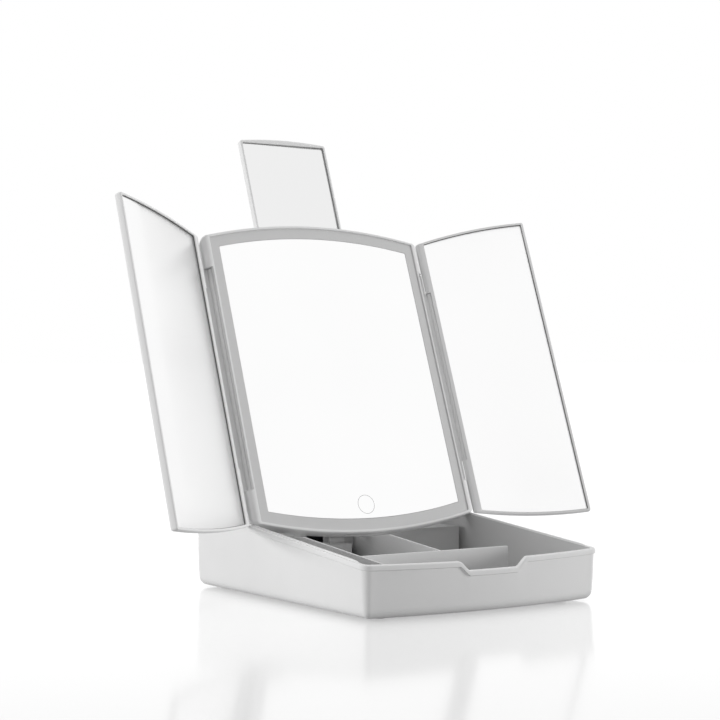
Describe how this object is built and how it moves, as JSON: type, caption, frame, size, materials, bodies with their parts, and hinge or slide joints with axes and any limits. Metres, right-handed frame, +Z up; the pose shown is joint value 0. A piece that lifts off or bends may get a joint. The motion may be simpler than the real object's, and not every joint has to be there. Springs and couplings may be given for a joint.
{
  "type": "lighted vanity mirror",
  "caption": "Tri-fold make-up mirror on an organiser tray base, with folding side wings, a pull-up rear mirror, a lit border, a fold-down support arm and a USB lead.",
  "frame": {"origin": "centre of the base's flat underside, on the table plane", "axes": "+X to the mirror's right as its user faces it, +Y to the back, +Z up"},
  "size_m": [0.3637, 0.3199, 0.3331],
  "materials": {
    "white_plastic": "white moulded ABS, satin to glossy",
    "tray_plastic": "light grey-white moulded ABS, satin",
    "mirror_glass": "silvered flat mirror",
    "diffuser": "frosted light band, switched off",
    "dark_plastic": "black moulded plastic",
    "steel": "plated sheet and wire steel",
    "rubber": "soft grey rubber",
    "circuit_board": "solder mask on glass fibre board",
    "copper": "copper touch pad",
    "cell_wrap": "plain shrink wrap on a dry cell",
    "cable_jacket": "white soft PVC"
  },
  "bodies": {
    "base": {"base_shell": "white_plastic", "foot_front_left": "rubber", "foot_front_right": "rubber", "foot_rear_left": "rubber", "foot_rear_right": "rubber", "divider_insert": "tray_plastic", "rear_housing": "tray_plastic", "panel_rest": "tray_plastic", "battery_1": "cell_wrap", "battery_2": "cell_wrap", "battery_3": "cell_wrap", "battery_4": "cell_wrap", "battery_contact_front": "steel", "battery_contact_rear": "steel", "control_board": "circuit_board", "usb_inlet_socket": "steel", "hinge_bracket_left": "steel", "hinge_bracket_right": "steel", "hinge_left_pin": "steel", "hinge_right_pin": "steel", "friction_washer_left": "dark_plastic", "friction_washer_right": "dark_plastic", "micro_plug_shell": "steel", "micro_plug_body": "cable_jacket", "cable_lead": "cable_jacket", "cable_coil": "cable_jacket", "cable_tail": "cable_jacket", "usb_a_plug_body": "cable_jacket", "usb_a_plug_shell": "steel"},
    "battery_cover": {"battery_door": "white_plastic"},
    "arm": {"support_arm": "white_plastic"},
    "panel": {"panel_frame": "white_plastic", "centre_mirror_glass": "mirror_glass", "light_diffuser": "diffuser", "led_board": "circuit_board", "glass_carrier": "dark_plastic", "touch_sensor": "copper", "panel_back_cover": "white_plastic", "tilt_bracket_left": "steel", "tilt_bracket_right": "steel", "tilt_left_pin": "steel", "tilt_right_pin": "steel", "slide_guide_left": "white_plastic", "slide_guide_right": "white_plastic", "left_link_pin": "steel", "right_link_pin": "steel"},
    "top_mirror": {"top_mirror_frame": "white_plastic", "top_mirror_glass": "mirror_glass"},
    "left_hinge": {"left_link": "white_plastic"},
    "left_wing": {"left_wing_frame": "white_plastic", "left_wing_glass": "mirror_glass", "left_wing_pin": "steel"},
    "right_hinge": {"right_link": "white_plastic"},
    "right_wing": {"right_wing_frame": "white_plastic", "right_wing_glass": "mirror_glass", "right_wing_pin": "steel"}
  },
  "joints": [
    {"name": "support_fold", "type": "hinge", "parent": "base", "child": "arm", "pos_m": [0, 0.076, 0.0445], "axis": [1, 0, 0], "range_deg": [0, 88.31]},
    {"name": "panel_tilt", "type": "hinge", "parent": "arm", "child": "panel", "pos_m": [0, 0.07273, 0.13341], "axis": [-1, 0, 0], "range_deg": [0, 152.53]},
    {"name": "top_mirror_slide", "type": "slide", "parent": "panel", "child": "top_mirror", "axis": [0, 0.3486, 0.9373], "range_m": [-0.079, 0]},
    {"name": "battery_door_slide", "type": "slide", "parent": "base", "child": "battery_cover", "axis": [0, 1, 0], "range_m": [0, 0.009]},
    {"name": "left_link_swing", "type": "hinge", "parent": "panel", "child": "left_hinge", "pos_m": [-0.0901, 0.06831, 0.15106], "axis": [0, 0.3486, 0.9373], "range_deg": [-3.8, 86.2]},
    {"name": "left_wing_swing", "type": "hinge", "parent": "left_hinge", "child": "left_wing", "pos_m": [-0.09948, 0.06772, 0.15128], "axis": [0, 0.3486, 0.9373], "range_deg": [-25.1, 64.9]},
    {"name": "right_link_swing", "type": "hinge", "parent": "panel", "child": "right_hinge", "pos_m": [0.0901, 0.06831, 0.15106], "axis": [0, -0.3486, -0.9373], "range_deg": [-16.5, 73.5]},
    {"name": "right_wing_swing", "type": "hinge", "parent": "right_hinge", "child": "right_wing", "pos_m": [0.09911, 0.0658, 0.15199], "axis": [0, -0.3486, -0.9373], "range_deg": [-0.15, 89.85]}
  ],
  "couplings": [
    {"joint": "panel_tilt", "follows": "support_fold", "ratio": 1.7266}
  ]
}
